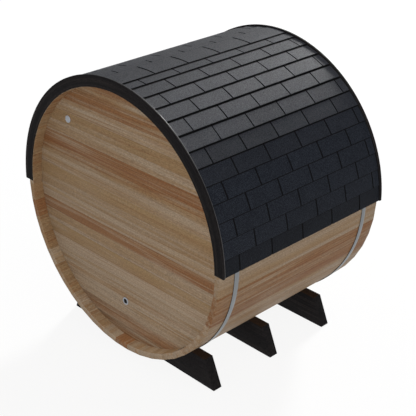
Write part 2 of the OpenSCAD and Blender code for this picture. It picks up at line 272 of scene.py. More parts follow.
def rounded(corners, steps=3):
    """A closed outline from (x, y, radius) corners, with each corner turned by an arc."""
    out = []
    count = len(corners)
    for i, (x, y, radius) in enumerate(corners):
        here = np.array((x, y), float)
        if radius <= 0:
            out.append(here)
            continue
        back = np.array(corners[i - 1][:2], float) - here
        ahead = np.array(corners[(i + 1) % count][:2], float) - here
        back /= np.linalg.norm(back)
        ahead /= np.linalg.norm(ahead)
        half = math.acos(max(-1.0, min(1.0, float(back @ ahead)))) / 2
        reach = radius / math.tan(half)
        start = here + back * reach
        end = here + ahead * reach
        bisector = (back + ahead) / np.linalg.norm(back + ahead)
        centre = here + bisector * (radius / math.sin(half))
        for k in range(steps + 1):
            t = k / steps
            p = start * (1 - t) + end * t - centre
            out.append(centre + p / np.linalg.norm(p) * radius)
    return np.array(out)


def inset(outline, distance):
    """A counter-clockwise outline moved inwards by a small distance."""
    ahead = np.roll(outline, -1, axis=0) - outline
    ahead /= np.linalg.norm(ahead, axis=1, keepdims=True)
    normal = np.stack([-ahead[:, 1], ahead[:, 0]], axis=1)
    before = np.roll(normal, 1, axis=0)
    spread = np.maximum(1 + (normal * before).sum(axis=1, keepdims=True), MITRE_LIMIT)
    return outline + distance * (normal + before) / spread


# Objects

def linked(name, data):
    made = bpy.data.objects.new(name, data)
    bpy.context.scene.collection.objects.link(made)
    return made


class Solids:
    """Collects closed solids, each point with its place in the wood's grain and its tone."""

    def __init__(self):
        self.points = []
        self.grain = []
        self.tone = []
        self.faces = []
        self.slots = []
        self.count = 0

    def add(self, points, grain, tone, faces, slots):
        tone = np.asarray(tone, float)
        if tone.ndim == 1:
            tone = np.tile(tone, (len(points), 1))
        self.points.append(np.asarray(points, float))
        self.grain.append(np.asarray(grain, float))
        self.tone.append(tone)
        self.faces.extend([[i + self.count for i in face] for face in faces])
        self.slots.extend(slots)
        self.count += len(points)

    def loft(self, sections, grains, tone):
        """A closed solid through sections of equal point counts, with a cap at each end."""
        size = len(sections[0])
        faces = []
        for k in range(len(sections) - 1):
            for i in range(size):
                j = (i + 1) % size
                faces.append((k * size + i, k * size + j, (k + 1) * size + j, (k + 1) * size + i))
        last = (len(sections) - 1) * size
        faces.append(tuple(reversed(range(size))))
        faces.append(tuple(range(last, last + size)))
        self.add(np.concatenate(sections), np.concatenate(grains), tone, faces, [0] * len(faces))

    def run(self, stops, place, along, tone):
        """Outlines at (depth, outline) stops, joined into a solid; along names the grain's axis."""
        shift = board_shift()
        order = {0: (1, 0, 2), 1: (0, 1, 2), 2: (0, 2, 1)}[along]
        middle = np.array((*stops[0][1].mean(axis=0), stops[0][0]))
        sections = []
        grains = []
        for depth, flat in stops:
            local = np.column_stack([flat, np.full(len(flat), depth)])
            sections.append(place(local))
            grains.append((local - middle)[:, order] + shift)
        self.loft(sections, grains, tone)

    def plate(self, outline, low, high, bevel, place, along, tone, steps=2):
        """An outline run from low to high in depth, with rounded edges."""
        self.run(eased(outline, low, high, bevel, steps), place, along, tone)

    def make(self, node, ending, slot, *materials):
        """The piece as an object that rides on the body and stands for a node."""
        name = node + "_" + ending
        mesh = bpy.data.meshes.new(name)
        mesh.from_pydata(np.concatenate(self.points).tolist(), [], self.faces)
        for key, values in (("grain", self.grain), ("tone", self.tone)):
            layer = mesh.attributes.new(key, "FLOAT_VECTOR", "POINT")
            layer.data.foreach_set("vector", np.concatenate(values).ravel())
        for material in materials:
            mesh.materials.append(material)
        mesh.polygons.foreach_set("material_index", self.slots)
        outward = bmesh.new()
        outward.from_mesh(mesh)
        bmesh.ops.recalc_face_normals(outward, faces=outward.faces)
        outward.to_mesh(mesh)
        outward.free()
        mesh.shade_smooth()
        mesh.set_sharp_from_angle(angle=math.radians(SMOOTH_DEG))
        piece = linked(name, mesh)
        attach(piece, BODY)
        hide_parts(node)


def eased(outline, low, high, bevel, steps=2):
    """Stops of a plate from low to high whose edges are rounded by a bevel."""
    stops = []
    for k in range(steps + 1):
        t = math.pi / 2 * k / steps
        shrink = bevel * (1 - math.sin(t))
        flat = inset(outline, shrink) if k < steps else outline
        stops.append((low + bevel * (1 - math.cos(t)), flat))
    return stops + [(low + high - depth, flat) for depth, flat in reversed(stops)]


def board_shift():
    """A board's own place in the log, so that no two boards share a figure."""
    return np.array([rng.uniform(*limits) for limits in (LOG_ACROSS, LOG_ALONG, LOG_DEPTH)])


def board_tone(heart=None, gold=None, pale=0.0):
    """(heart, shade, gold) of one board."""
    amount = rng.uniform(*SAP_HEART) if heart is None else heart
    yellow = rng.uniform(*SAP_GOLD) if gold is None else gold
    return (amount, rng.uniform(*SAP_SHADE) + pale, yellow)


def placed(order, lift):
    """How a plate is placed: what of its outline and depth runs along X, Y and Z, and its lift."""
    return lambda local: local[:, order] + (0, 0, lift)


facing_y = placed((0, 2, 1), AXIS_Z)
standing = placed((0, 1, 2), AXIS_Z)
upright = placed((0, 2, 1), 0)
sideways = placed((2, 0, 1), 0)


# Shader graphs

class Nodes:
    """A small writer for a node tree."""

    def __init__(self, tree):
        self.tree = tree
        tree.nodes.clear()

    def put(self, socket, value):
        if isinstance(value, bpy.types.NodeSocket):
            self.tree.links.new(value, socket)
        elif value is not None:
            socket.default_value = value

    def node(self, kind, values=(), **settings):
        made = self.tree.nodes.new(kind)
        for key, value in settings.items():
            setattr(made, key, value)
        pairs = values.items() if isinstance(values, dict) else enumerate(values)
        for key, value in pairs:
            self.put(made.inputs[key], value)
        return made

    def math(self, operation, a, b=None, clamp=False):
        return self.node("ShaderNodeMath", (a, b), operation=operation, use_clamp=clamp).outputs[0]


class Graph(Nodes):
    """One material's nodes around its shader."""

    def __init__(self, name):
        self.material = bpy.data.materials.new(name)
        self.material.use_nodes = True
        super().__init__(self.material.node_tree)
        self.shader = self.node("ShaderNodeBsdfPrincipled")
        self.node("ShaderNodeOutputMaterial", {"Surface": self.shader.outputs[0]})

    def attribute(self, name):
        return self.node("ShaderNodeAttribute", attribute_name=name).outputs["Vector"]

    def split(self, vector):
        return self.node("ShaderNodeSeparateXYZ", (vector,)).outputs

    def normal(self):
        return self.split(self.node("ShaderNodeNewGeometry").outputs["Normal"])

    def add(self, total, *others):
        for other in others:
            total = self.math("ADD", total, other)
        return total

    def times(self, a, b):
        return self.math("MULTIPLY", a, b)

    def swing(self, value, amount):
        """A noise about its middle, times an amount."""
        return self.times(self.math("SUBTRACT", value, 0.5), amount)

    def noise(self, vector, scale, detail=2.0, rough=0.5):
        values = {"Vector": vector, "Scale": scale, "Detail": detail, "Roughness": rough}
        return self.node("ShaderNodeTexNoise", values).outputs[0]

    def figure(self, place, across, along, detail=2.0, rough=0.5):
        """A noise that is drawn out along the grain."""
        values = (place, (across, along, across))
        drawn = self.node("ShaderNodeVectorMath", values, operation="MULTIPLY").outputs[0]
        return self.noise(drawn, 1.0, detail, rough)

    def remap(self, value, low, high, to_low=0.0, to_high=1.0):
        values = {0: value, 1: low, 2: high, 3: to_low, 4: to_high}
        return self.node("ShaderNodeMapRange", values, interpolation_type="SMOOTHSTEP").outputs[0]

    def mix(self, factor, a, b):
        values = {0: factor, 6: a, 7: b}
        return self.node("ShaderNodeMix", values, data_type="RGBA").outputs[2]

    def scaled(self, colour, factor):
        made = self.node("ShaderNodeVectorMath", {0: colour, "Scale": factor}, operation="SCALE")
        return made.outputs[0]

    def bump(self, height, strength, distance):
        values = {"Strength": strength, "Distance": distance, "Height": height}
        made = self.node("ShaderNodeBump", values)
        self.put(self.shader.inputs["Normal"], made.outputs[0])

    def set(self, **values):
        names = {"colour": "Base Color", "rough": "Roughness", "metal": "Metallic",
                 "specular": "Specular IOR Level"}
        for key, value in values.items():
            self.put(self.shader.inputs[names[key]], value)


def rgb(red, green, blue):
    """Linear colour of an sRGB colour given from 0 to 255."""
    def line(v):
        v /= 255
        return v / 12.92 if v <= 0.04045 else ((v + 0.055) / 1.055) ** 2.4
    return (line(red), line(green), line(blue), 1.0)


class Grain:
    """Noises and rings of sawn wood, from each point's place in the log."""

    def __init__(self, graph, from_attribute=True):
        if from_attribute:
            place = graph.attribute("grain")
        else:
            place = graph.node("ShaderNodeTexCoord").outputs["Object"]
        across, _, depth = graph.split(place)
        self.heart, self.shade, self.gold = graph.split(graph.attribute("tone"))
        drift = graph.figure(place, 2.2, 0.9, detail=1)
        wander = graph.swing(drift, 0.14)
        pith = graph.node("ShaderNodeCombineXYZ", (graph.add(across, wander), 0.0, depth)).outputs[0]
        radius = graph.node("ShaderNodeVectorMath", (pith,), operation="LENGTH").outputs[1]
        ripple = graph.figure(place, 40, STREAK_LONG)
        rings = graph.math("FRACT", graph.add(graph.times(radius, 150), ripple))
        self.late = graph.remap(rings, 0.35, 0.95)
        self.patch = graph.figure(place, 15, 2.0)
        self.broad = graph.figure(place, 42, 0.8)
        self.vein = graph.figure(place, 95, 0.8)
        self.streak = graph.figure(place, 165, STREAK_LONG, detail=3, rough=0.65)
        self.fleck = graph.figure(place, 210, 60)
        self.fibre = graph.figure(place, 420, 8, detail=3, rough=0.6)


def wood(name, pale, tan, gold, heart, deep, dark, streaks=0.58):
    """Planed softwood: pale, tan and golden sapwood, veined red heartwood, rings and streaks."""
    graph = Graph(name)
    grain = Grain(graph)
    ground = graph.add(grain.broad, graph.times(grain.shade, -0.1))
    colour = graph.mix(graph.remap(ground, 0.36, 0.64), pale, tan)
    golden = graph.add(grain.gold, graph.swing(grain.patch, 1.8))
    colour = graph.mix(graph.remap(golden, 0.2, 1.1), colour, gold)
    sway = graph.add(graph.swing(grain.broad, 1.2), graph.swing(grain.patch, 1.0),
                     graph.swing(grain.streak, 1.2))
    ripe = graph.add(grain.heart, graph.times(sway, graph.add(0.4, grain.heart)))
    red = graph.mix(graph.remap(grain.vein, 0.42, 0.64), heart, deep)
    colour = graph.mix(graph.remap(ripe, 0.08, 0.95), colour, red)
    lines = graph.times(graph.remap(grain.streak, 0.48, 0.74), streaks)
    colour = graph.mix(graph.add(lines, graph.times(grain.late, 0.2)), colour, dark)
    level = graph.add(1.0, graph.times(grain.shade, 0.05), graph.swing(grain.fibre, 0.45),
                      graph.swing(grain.fleck, FLECK))
    graph.set(colour=graph.scaled(colour, level), specular=0.1)
    graph.set(rough=graph.remap(grain.fibre, 0.3, 0.7, 0.49, 0.61))
    graph.bump(graph.add(grain.fibre, graph.times(grain.late, 0.6)), 0.35, 0.0004)
    return graph.material


def black_timber(name, black, worn, highlight_gloss=0.0, from_attribute=True):
    """Timber stained black: its grain shows, level tops may be browner, and arrises that face the door
    end may be glossier, a painted highlight where they catch the back softbox.
    """
    graph = Graph(name)
    grain = Grain(graph, from_attribute)
    show = graph.times(graph.remap(grain.streak, 0.42, 0.72), 0.8)
    show = graph.add(show, graph.times(grain.late, 0.25))
    show = graph.math("MULTIPLY", show, graph.remap(grain.broad, 0.25, 0.65), clamp=True)
    level = graph.add(1.0, graph.swing(grain.fibre, 0.6), graph.swing(grain.fleck, 2.0),
                      graph.times(grain.shade, 0.08))
    _, along, upward = graph.normal()
    # upward faces go browner, as far as the tone's gold says
    second_tone = graph.times(graph.remap(upward, 0.8, 0.97), grain.gold)
    colour = graph.mix(second_tone, graph.mix(show, black, worn), TOP_BROWN)
    coarse = graph.remap(grain.fibre, 0.3, 0.7, 0.62, 0.78)
    gloss = 0.05
    # painted highlight: arrises facing the door end are made glossier so that they catch the back
    # softbox
    if highlight_gloss:
        highlight_arris = graph.times(graph.remap(along, 0.04, 0.14), graph.remap(along, 0.9, 0.6))
        gloss = graph.add(gloss, graph.times(highlight_arris, highlight_gloss))
        coarse = graph.add(coarse, graph.times(highlight_arris, -0.25 * highlight_gloss))
    graph.set(colour=graph.scaled(colour, level), specular=gloss, rough=coarse)
    graph.bump(graph.add(grain.fibre, grain.late), 0.5, 0.0006)
    return graph.material


def granules(name, dark, light, painted_light):
    """Mineral granules on bitumen: chips, blotches, a tone for each tab, and painted light: lighter
    granules with a higher specular level on the upper courses towards the ridge.
    """
    graph = Graph(name)
    grain = graph.attribute("grain")
    painted_light_share, shade, _ = graph.split(graph.attribute("tone"))
    cells = graph.node("ShaderNodeTexVoronoi", {"Vector": grain, "Scale": 420.0})
    chip, _, _ = graph.split(cells.outputs["Color"])
    coarse = graph.noise(grain, 140, detail=2, rough=0.6)
    blotch = graph.noise(grain, 9, detail=3)
    colour = graph.mix(graph.remap(chip, 0.5, 1.0), dark, light)
    # painted light: the granules take the lighter colour on the upper courses
    colour = graph.mix(painted_light_share, colour, painted_light)
    level = graph.add(0.55, graph.times(coarse, 0.7), graph.swing(blotch, 0.4),
                      graph.times(shade, 0.1))
    sheen = graph.remap(painted_light_share, 0.0, 1.0, *SHEEN)
    sheen = graph.add(sheen, graph.times(graph.swing(coarse, painted_light_share), SPECK))
    graph.set(colour=graph.scaled(colour, level), specular=sheen)
    graph.set(rough=graph.remap(chip, 0.0, 1.0, *GRANULE_ROUGH))
    height = graph.add(graph.times(cells.outputs["Distance"], -0.6), graph.times(coarse, 4.0))
    graph.bump(height, 0.5, 0.0012)
    return graph.material


def bitumen(name, colour):
    """Cut edge of a shingle, also laid as painted shade: a dark strip under each course's butt and the
    backing seen in the slits.
    """
    graph = Graph(name)
    grain = graph.attribute("grain")
    rough = graph.noise(grain, 260, detail=2)
    graph.set(colour=graph.scaled(colour[:3], graph.add(0.6, rough)), specular=0.05)
    graph.set(rough=graph.remap(rough, 0.3, 0.7, 0.6, 0.8))
    graph.bump(rough, 0.4, 0.001)
    return graph.material


def brushed_steel(name, colour, cut_or_edge_shade):
    """Steel strap brushed along its length; its edge faces are dark, painted shade where the band
    stands on the staves.
    """
    graph = Graph(name)
    grain = graph.attribute("grain")
    lines = graph.figure(grain, 1500, 6, detail=3)
    cloud = graph.figure(grain, 30, 8, detail=3)
    level = graph.add(0.82, graph.times(lines, 0.2), graph.times(cloud, 0.16))
    _, along, _ = graph.normal()
    # painted shade: the faces across the strap's width go dark
    edge = graph.remap(graph.times(along, along), 0.4, 0.8)
    graph.set(colour=graph.mix(edge, graph.scaled(colour[:3], level), cut_or_edge_shade), metal=1.0)
    graph.set(rough=graph.remap(cloud, 0.3, 0.7, 0.32, 0.48))
    graph.bump(lines, 0.12, 0.0002)
    return graph.material


def moulded(name, colour, rough, specular=0.35, metal=0.0):
    """Moulded plastic, rubber, paint or plated steel with a fine uneven skin."""
    graph = Graph(name)
    place = graph.node("ShaderNodeTexCoord").outputs["Object"]
    skin = graph.noise(place, 900, detail=2)
    cloud = graph.noise(place, 25, detail=3)
    level = graph.add(0.95, graph.times(cloud, 0.1))
    graph.set(colour=graph.scaled(colour[:3], level), specular=specular, metal=metal)
    graph.set(rough=graph.remap(cloud, 0.3, 0.7, rough - 0.05, rough + 0.05))
    graph.bump(skin, 0.15, 0.0003)
    return graph.material


# Materials
WOOD_TONES = {
    "pale": rgb(138, 122, 103), "tan": rgb(130, 108, 82), "gold": rgb(129, 106, 77),
    "heart": rgb(117, 83, 54), "deep": rgb(105, 67, 41), "dark": rgb(104, 71, 46),
}
STAVE_WOOD = wood("stave_wood", **WOOD_TONES, streaks=0.4)
WALL_WOOD = wood("wall_wood", **WOOD_TONES)
DOOR_WOOD = wood("door_wood", **WOOD_TONES)
TOP_BROWN = rgb(45, 32, 23)
BLACK_STAIN = (rgb(18, 17, 18), rgb(41, 37, 36))
BLACK_WOOD = black_timber("black_wood", *BLACK_STAIN)
# glossier arrises facing the door end, a painted highlight
ARCH_WOOD = black_timber("arch_wood", *BLACK_STAIN, highlight_gloss=0.8)
DECK_WOOD = black_timber("deck_wood", rgb(40, 35, 30), rgb(64, 52, 42), from_attribute=False)
# the third colour is the painted light of the upper courses
GRANULES = granules("shingle_granules", rgb(16, 19, 26), rgb(43, 47, 53), rgb(43, 45, 52))
EDGE_AND_SHADE = bitumen("shingle_edge_and_shade", rgb(10, 10, 11))
# the second colour is the painted shade on the strap's edge faces
STEEL = brushed_steel("band_steel", rgb(124, 127, 129), rgb(30, 25, 20))
BOLT_STEEL = moulded("bolt_steel", rgb(120, 122, 124), 0.35, metal=1.0)
BLACK_PAINT = moulded("black_paint", rgb(30, 30, 31), 0.45)
PLASTIC = moulded("grey_plastic", rgb(140, 143, 149), 0.4)
RUBBER = moulded("plug_rubber", rgb(12, 12, 13), 0.7, specular=0.1)


# Camera

def make_camera():
    data = bpy.data.cameras.new("camera")
    data.lens = CAMERA_LENS
    data.sensor_width = SENSOR_W
    camera = linked("camera", data)
    camera.location = CAMERA_PLACE
    camera.rotation_euler = (math.radians(90 - CAMERA_ELEVATION), 0, math.radians(CAMERA_AZIMUTH))
    bpy.context.scene.camera = camera


# Staves

def arc(centre, radius, axis_out, axis_up, from_angle, to_angle, steps):
    angles = np.linspace(from_angle, to_angle, steps + 1)
    return [centre + radius * (math.cos(t) * axis_out + math.sin(t) * axis_up) for t in angles]


def stave_outline():
    """A stave's section, across the stave and outwards from the axis, with its bead and cove."""
    half = STAVE_STEP / 2
    slack = FIT_GAP / 2 / math.cos(half)

    def half_w(v):
        return v * math.tan(half) - slack

    inner, flat, middle = STAVE_INNER_R, STAVE_FLAT_R, STAVE_FLAT_R - STAVE_T / 2
    up = np.array((math.sin(half), math.cos(half)))
    out = np.array((math.cos(half), -math.sin(half)))
    set_back = BEAD_R - BEAD_OUT
    bead = up * middle / math.cos(half) - out * (FIT_GAP / 2 + set_back)
    spread = math.acos(set_back / BEAD_R)
    bead_points = arc(bead, BEAD_R, out, up, -spread, spread, 8)
    turn = np.array(((math.cos(STAVE_STEP), -math.sin(STAVE_STEP)),
                     (math.sin(STAVE_STEP), math.cos(STAVE_STEP))))
    cove = turn @ bead
    cove_r = BEAD_R + FIT_GAP
    cove_spread = math.acos((set_back + FIT_GAP) / cove_r)
    left_in = np.array((math.cos(half), math.sin(half)))
    left_up = np.array((-math.sin(half), math.cos(half)))
    cove_points = arc(cove, cove_r, left_in, left_up, cove_spread, -cove_spread, 8)
    corners = [(-half_w(inner), inner, ARRIS), (half_w(inner), inner, ARRIS)]
    corners += [(p[0], p[1], 0) for p in bead_points]
    corners += [(half_w(flat), flat, ARRIS), (-half_w(flat), flat, ARRIS)]
    corners += [(p[0], p[1], 0) for p in cove_points]
    return rounded(corners)


def stave_group(i):
    shifted = (i + round(STAVE_COUNT / (2 * STAVE_GROUPS))) % STAVE_COUNT
    return math.floor(shifted * STAVE_GROUPS / STAVE_COUNT)


def grooved(outline):
    """A stave's section where the end wall's groove is cut into its inner face."""
    deep = outline.copy()
    inner = deep[:, 1] < STAVE_INNER_R + GROOVE_DEPTH
    deep[inner, 1] = np.maximum(deep[inner, 1], STAVE_INNER_R + GROOVE_DEPTH)
    return deep


def stave_stops(outline):
    """A stave's sections from end to end, with a groove near each end."""
    stops = eased(outline, -HALF_L, HALF_L, ARRIS)
    half = len(stops) // 2
    deep = grooved(outline)
    outer = WALL_FACE + GROOVE_MOUTH
    first = [(-outer, outline), (-outer, deep), (-WALL_BACK, deep), (-WALL_BACK, outline)]
    return stops[:half] + first + [(-y, flat) for y, flat in reversed(first)] + stops[half:]


def make_staves():
    outline = stave_outline()
    stops = stave_stops(outline)
    depth_share = np.concatenate([(STAVE_FLAT_R - flat[:, 1]) / STAVE_T for _, flat in stops])
    plain_end = np.concatenate([np.full(len(flat), ARRIS / 2 - HALF_L < y < 0) for y, flat in stops])
    # inner faces at the plain end, where painted light and painted shade are added
    painted_inside = depth_share ** 3 * plain_end
    for group, node in enumerate(STAVE_NODES):
        solids = Solids()
        for i in range(STAVE_COUNT):
            if stave_group(i) != group:
                continue
            angle = i * STAVE_STEP - math.pi / 2
            out = np.array((math.cos(angle), math.sin(angle)))
            right = np.array((math.sin(angle), -math.cos(angle)))

            def place(local):
                flat = local[:, :1] * right + local[:, 1:2] * out
                return np.column_stack([flat[:, 0], local[:, 2], flat[:, 1] + AXIS_Z])

            number = i if i <= STAVE_COUNT // 2 else i - STAVE_COUNT
            looks = board_tone(HEART_STAVES.get(number), GOLD_STAVES.get(number))
            tone = np.tile(looks, (len(depth_share), 1))
            # painted warm shade inwards, painted light on the lower inner faces and on the inner faces
            # at the plain end
            tone[:, 0] += PAINTED_SHADE_HEART * depth_share
            tone[:, 1] += PAINTED_LIGHT_INSIDE * depth_share * max(0.0, -math.sin(angle))
            tone += np.outer(painted_inside, INSIDE_TONE_AND_PAINTED_LIGHT.get(number, (0.0, 0.0, 0.0)))
            solids.run(stops, place, 2, tone)
        solids.make(node, "boards", "stave_wood", STAVE_WOOD)


# End walls

def board_edges():
    """(number, low, high) of every board of an end wall."""
    first = math.ceil((BOARD_MIN - WALL_R - BOARD_JOINT_Z) / BOARD_PITCH)
    last = math.floor((WALL_R - BOARD_MIN - BOARD_JOINT_Z) / BOARD_PITCH)
    joints = [BOARD_JOINT_Z + k * BOARD_PITCH for k in range(first, last + 1)]
    lows = [-WALL_R + BOARD_MIN / 4] + joints
    highs = joints + [WALL_R - BOARD_MIN / 4]
    return [(first - 1 + i, low, high - FIT_GAP) for i, (low, high) in enumerate(zip(lows, highs))]


def board_side(low, high, side, steps=6):
    """Points up one end of a board, on the wall's circle."""
    heights = np.linspace(low, high, steps)
    return [(side * math.sqrt(max(WALL_R * WALL_R - z * z, 0.0)), z) for z in heights]


def board_outlines(low, high, doorway):
    """The outlines of one board: whole, notched, or in two pieces beside the doorway."""
    right = board_side(low, high, 1)
    left = list(reversed(board_side(low, high, -1)))
    if not doorway or high <= doorway[1] or low >= doorway[2]:
        return [right + left]
    half, door_low, door_high = doorway
    if low >= door_low and high <= door_high:
        return [[(half, low)] + right + [(half, high)], [(-half, high)] + left + [(-half, low)]]
    if low < door_low:
        notch = [(half, high), (half, door_low), (-half, door_low), (-half, high)]
        return [right + notch + left]
    notch = [(-half, low), (-half, door_high), (half, door_high), (half, low)]
    return [right + left + notch]


def make_wall(node, low_y, high_y, doorway):
    solids = Solids()
    for number, low, high in board_edges():
        low_heart, high_heart = HEART_BOARDS.get(number, (None, None))
        # pale is partly the board's tone, partly painted light and painted shade
        looks = board_tone(low_heart, GOLD_BOARDS.get(number), PALE_AND_PAINTED_LIGHT_BOARDS.get(number, 0.0))
        for outline in board_outlines(low, high, doorway):
            stops = eased(np.array(outline), low_y, high_y, ARRIS)
            heights = np.concatenate([flat[:, 1] for _, flat in stops])
            tone = np.tile(looks, (len(heights), 1))
            if high_heart is not None:
                tone[:, 0] = np.interp(heights, (low, high), (low_heart, high_heart))
            solids.run(stops, facing_y, 0, tone)
    solids.make(node, "boards", "wall_wood", WALL_WOOD)


# Roof

def slit_edges(first, slit):
    """(low, high) of each tab along the roof, for slits counted from the plain end."""
    lows = [-ROOF_END]
    highs = []
    y = first - HALF_L
    while y < ROOF_END - slit:
        highs.append(y - slit / 2)
        lows.append(y + slit / 2)
        y += TAB_PITCH
    return list(zip(lows, highs + [ROOF_END]))


def grid_faces(rows, columns):
    """Faces of a closed sheet whose top and bottom are grids of points, tops first."""
    top = np.arange(rows * columns).reshape(rows, columns)
    low = top + rows * columns

    def quads(*corners):
        return np.stack([corner.ravel() for corner in corners], 1).tolist()

    tops = quads(top[:-1, :-1], top[:-1, 1:], top[1:, 1:], top[1:, :-1])
    others = quads(low[:-1, :-1], low[1:, :-1], low[1:, 1:], low[:-1, 1:])
    for i in (0, -1):
        others += quads(top[i, :-1], low[i, :-1], low[i, 1:], top[i, 1:])
    for j in (0, -1):
        others += quads(top[:-1, j], top[1:, j], low[1:, j], low[:-1, j])
    return tops, others


def add_tab(solids, degrees, tops, bottoms, low, high, dark_rows, side, shade=0.0):
    """A tab over the given angles, from its top and bottom radii; its last rows are dark bitumen,
    painted shade.
    """
    ys = np.concatenate([[low, low + TAB_EASE], np.linspace(low, high, TAB_STEPS)[1:-1],
                         [high - TAB_EASE, high]])
    rows, columns = len(degrees), len(ys)
    share = (ys - low) / (high - low)
    near, far, bow, phase = (rng.uniform(-1, 1) for _ in range(4))
    warp = near * (1 - share) + far * share + bow * np.sin(TAB_BOW * ys + TAB_BOW_SHIFT * phase)
    settle = np.zeros(columns)
    settle[[0, -1]] = TAB_EASE
    angle, y = np.meshgrid(np.radians(degrees), ys, indexing="ij")
    fall = np.linspace(1, 0, rows)[:, None]
    radius = np.stack([
        tops[:, None] + TAB_WARP * warp * fall - settle,
        np.repeat(bottoms[:, None], columns, axis=1),
    ])
    across, height = side * radius * np.cos(angle), radius * np.sin(angle) + AXIS_Z
    points = np.stack([across, np.stack([y, y]), height], -1).reshape(-1, 3)
    middle = (degrees[0] + degrees[-1]) / 2
    # painted light, stronger on the courses nearer the ridge
    painted_light = np.interp(middle, (PAINTED_LIGHT_FROM_DEG, PAINTED_LIGHT_TO_DEG), (0, PAINTED_LIGHT_MOST))
    tone = (painted_light, rng.uniform(-1, 1) + shade, 0)
    shift = np.array([rng.uniform(0, 9) for _ in range(3)])
    top_faces, others = grid_faces(rows, columns)
    # the last rows take the dark edge material, painted shade
    second_tone = rows - 1 - dark_rows
    slots = [0 if k // (columns - 1) < second_tone else 1 for k in range(len(top_faces))]
    solids.add(points, points + shift, tone, top_faces + others, slots + [1] * len(others))


def make_course(solids, number, side):
    """One course: a dark backing, painted shade where the slits show it, and tabs whose dark upper
    strip, painted shade, runs under the next course.
    """
    edge = math.degrees(TAB_EASE / STAVE_R) / COURSE_DEG
    # a dark strip of painted shade under the next course's butt, wider on the upper courses
    shade_strip = math.degrees(np.interp(number, CHANGE_COURSES, SHADE_STRIPS) / STAVE_R) / COURSE_DEG
    cover = min(1.0, (90 - RIDGE_HALF_DEG) / COURSE_DEG - number)
    second_tone = cover - shade_strip
    shares = np.array([0, edge, 0.25, 0.5, min(0.75, second_tone - edge), second_tone, 1.0, COURSE_LAP])
    reach = np.minimum(shares, 1.0)
    tops = COURSE_SEAT_R + COURSE_LOW_T - (COURSE_LOW_T - COURSE_HIGH_T) * reach
    tops[0] -= TAB_EASE
    tops[-1] = COURSE_SEAT_R + COURSE_HIGH_T / 2
    bottoms = COURSE_SEAT_R + (COURSE_HIGH_T + FIT_GAP) * (1 - reach)
    bottoms[-1] = COURSE_SEAT_R - 2 * FIT_GAP
    degrees = (number + shares) * COURSE_DEG
    backing = bottoms + BACKING_T
    add_tab(solids, degrees, backing, bottoms, -ROOF_END, ROOF_END, len(shares) - 1, side)
    first = ODD_SLIT if number % 2 == 0 else EVEN_SLIT
    # painted shading of the course, added to each tab's own tone
    shade = COURSE_PAINTED_SHADING[number] if number < len(COURSE_PAINTED_SHADING) else 0.0
    for low, high in slit_edges(first, np.interp(number, CHANGE_COURSES, SLITS)):
        add_tab(solids, degrees, tops, backing, low, high, 2, side, shade)


def make_shingles():
    for node, side in (("shingles_right", 1), ("shingles_left", -1)):
        solids = Solids()
        for number in range(COURSE_COUNT):
            make_course(solids, number, side)
        solids.make(node, "tabs", "shingle", GRANULES, EDGE_AND_SHADE)


def make_ridge():
    solids = Solids()
    half = RIDGE_HALF_DEG
    edge = math.degrees(TAB_EASE / STAVE_R)
    inner = np.linspace(-half, half, 9)[1:-1]
    offsets = np.concatenate([[-half, -half + edge], inner, [half - edge, half]])
    tops = np.full(len(offsets), RIDGE_OUT_R - TAB_WARP)
    tops[[0, -1]] -= TAB_EASE
    bottoms = np.full(len(offsets), RIDGE_OUT_R - RIDGE_T)
    tabs = slit_edges(EVEN_SLIT, SLITS[0])
    tabs[-2:] = [(tabs[-2][0], ROOF_END)]
    for low, high in tabs:
        add_tab(solids, 90 + offsets, tops, bottoms, low, high, 0, 1)
    solids.make("ridge_cap", "tabs", "shingle", GRANULES, EDGE_AND_SHADE)


def sweep_ring(solids, outline, from_deg, to_deg, steps, tone, bevel):
    """An outline in radius and Y carried around the barrel's axis, with eased ends."""
    middle = outline[:, 0].mean()
    turn = math.degrees(bevel / middle)
    stops = [(from_deg, bevel), (from_deg + turn, 0.0)]
    inner = np.linspace(from_deg, to_deg, steps + 1)[1:-1]
    stops += [(d, 0.0) for d in inner]
    stops += [(to_deg - turn, 0.0), (to_deg, bevel)]
    shift = board_shift()
    sections = []
    grains = []
    for degrees, shrink in stops:
        flat = inset(outline, shrink) if shrink else outline
        angle = math.radians(degrees)
        sections.append(np.column_stack([
            flat[:, 0] * math.cos(angle), flat[:, 1], flat[:, 0] * math.sin(angle) + AXIS_Z]))
        grains.append(np.column_stack([
            flat[:, 0] - middle, np.full(len(flat), angle * middle), flat[:, 1]]) + shift)
    solids.loft(sections, grains, tone)


def make_arch(node, side):
    """The arch board: a thin face over the stave ends and a thicker back over the roof's edge."""
    inner_r = STAVE_R - STAVE_T
    lip_r = STAVE_R + FIT_GAP
    face, seat, back = ARCH_FACE, HALF_L + FIT_GAP, ARCH_FACE - ARCH_T
    corners = [
        (inner_r, seat, ARCH_SEAT_EASE), (lip_r, seat, 0), (lip_r, back, ARCH_SEAT_EASE),
        (ARCH_R, back, ARCH_BACK_EASE), (ARCH_R, face, ARCH_EASE), (inner_r, face, ARCH_EASE),
    ]
    outline = rounded(corners)
    if side < 0:
        outline = np.column_stack([outline[:, 0], -outline[:, 1]])[::-1]
    solids = Solids()
    sweep_ring(solids, outline, 0, 180, ARCH_STEPS, board_tone(0.0, 0.0), ARCH_FOOT_EASE)
    solids.make(node, "board", "black_wood", ARCH_WOOD)


# Bands

